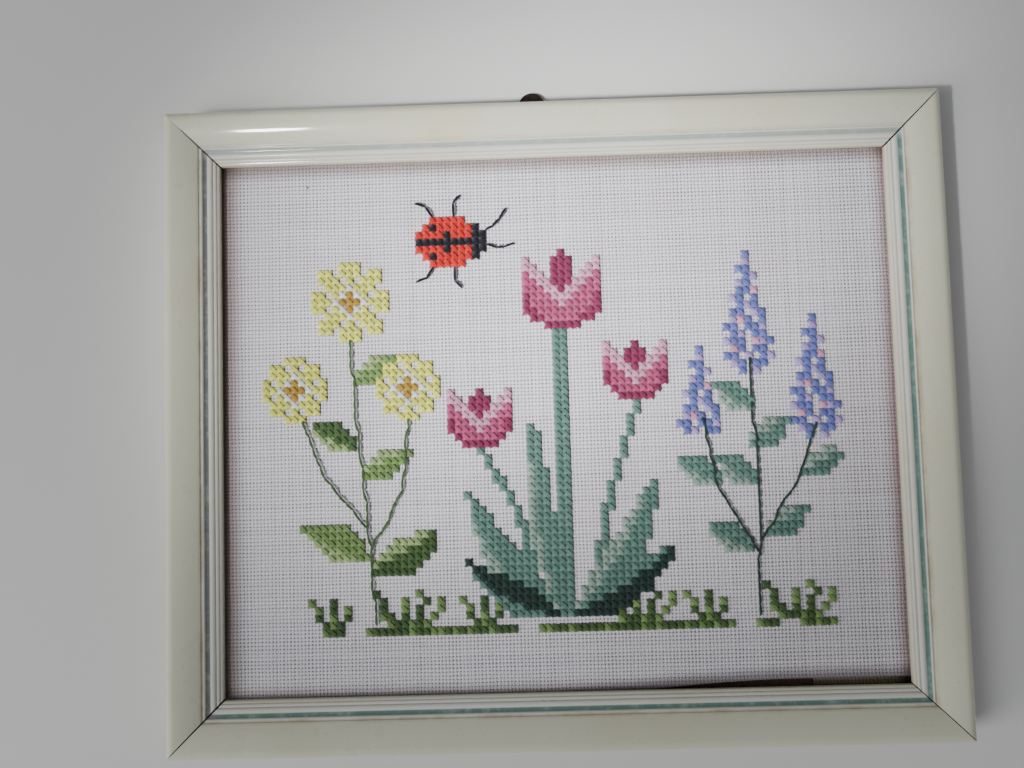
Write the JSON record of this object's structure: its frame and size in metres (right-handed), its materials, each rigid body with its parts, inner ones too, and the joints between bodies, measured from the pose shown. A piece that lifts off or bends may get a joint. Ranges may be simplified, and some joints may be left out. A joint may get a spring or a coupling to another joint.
{
  "type": "framed embroidery in picture frame",
  "caption": "Small landscape picture frame in ivory lacquer with a green line, holding white linen worked with flowers in cross-stitch.",
  "frame": {"origin": "middle of the frame's outline, hanging plate included, on the plane of its back", "axes": "+X across the picture to its right, +Y up the picture towards the hanging plate, +Z out of its face"},
  "size_m": [0.277, 0.2356, 0.0179],
  "materials": {
    "ivory_lacquer": "glossy ivory lacquer with a grey-green line in its cove, slightly worn and yellowed",
    "white_linen": "evenweave embroidery linen, matt, with cotton cross-stitches",
    "grey_card": "uncoated grey card",
    "brown_hardboard": "smooth brown hardboard, matt",
    "dark_bronze": "dark bronzed metal, worn",
    "pin_steel": "dull bright steel"
  },
  "bodies": {
    "root": {"rail_top": "ivory_lacquer", "rail_bottom": "ivory_lacquer", "stile_left": "ivory_lacquer", "stile_right": "ivory_lacquer", "linen": "white_linen", "mount_card": "grey_card", "back_board": "brown_hardboard", "back_pin_1": "pin_steel", "back_pin_2": "pin_steel", "back_pin_3": "pin_steel", "back_pin_4": "pin_steel", "back_pin_5": "pin_steel", "back_pin_6": "pin_steel", "back_pin_7": "pin_steel", "back_pin_8": "pin_steel", "hanger_plate": "dark_bronze", "hanger_tack_1": "pin_steel", "hanger_tack_2": "pin_steel"}
  },
  "joints": []
}
